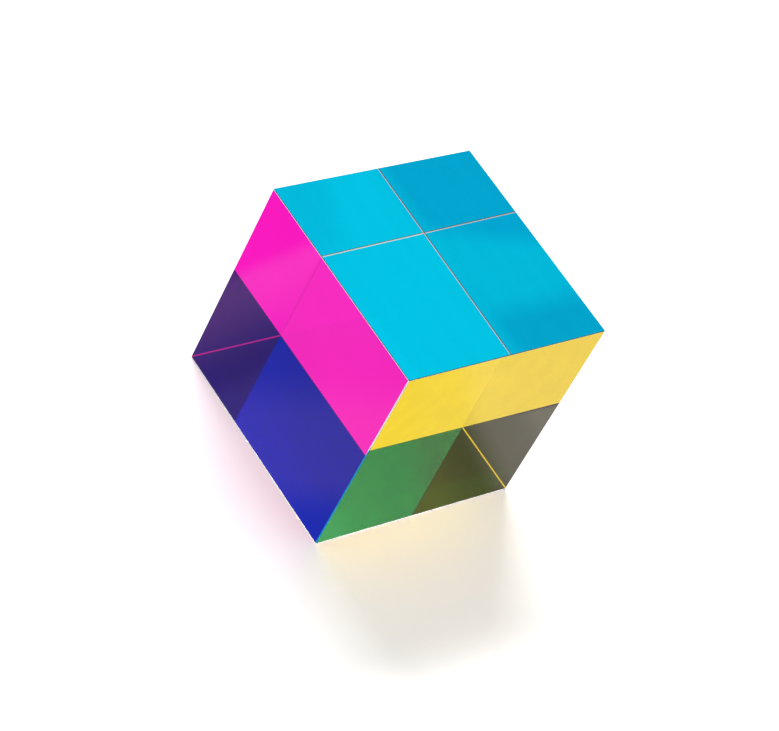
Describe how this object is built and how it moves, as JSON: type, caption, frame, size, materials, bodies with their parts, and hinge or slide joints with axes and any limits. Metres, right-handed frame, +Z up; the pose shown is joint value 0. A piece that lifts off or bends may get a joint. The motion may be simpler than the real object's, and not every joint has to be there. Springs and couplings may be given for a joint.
{
  "type": "subtractive colour cube prism",
  "caption": "Solid clear acrylic cube with cyan, magenta and yellow films on the faces at one corner, for showing how subtractive colours mix.",
  "frame": {"origin": "middle of the flat of the cyan film, on the face that the cube rests on", "axes": "+Z up, away from the cyan face; the magenta film faces -X and the yellow film faces -Y; the faces towards +X, +Y and +Z are bare acrylic"},
  "size_m": [0.05, 0.05, 0.05],
  "materials": {
    "acrylic": "polished",
    "cyan": "polished",
    "magenta": "polished",
    "yellow": "polished"
  },
  "bodies": {
    "root": {"clear_core": "acrylic", "cyan_film": "cyan", "magenta_film": "magenta", "yellow_film": "yellow"}
  },
  "joints": []
}
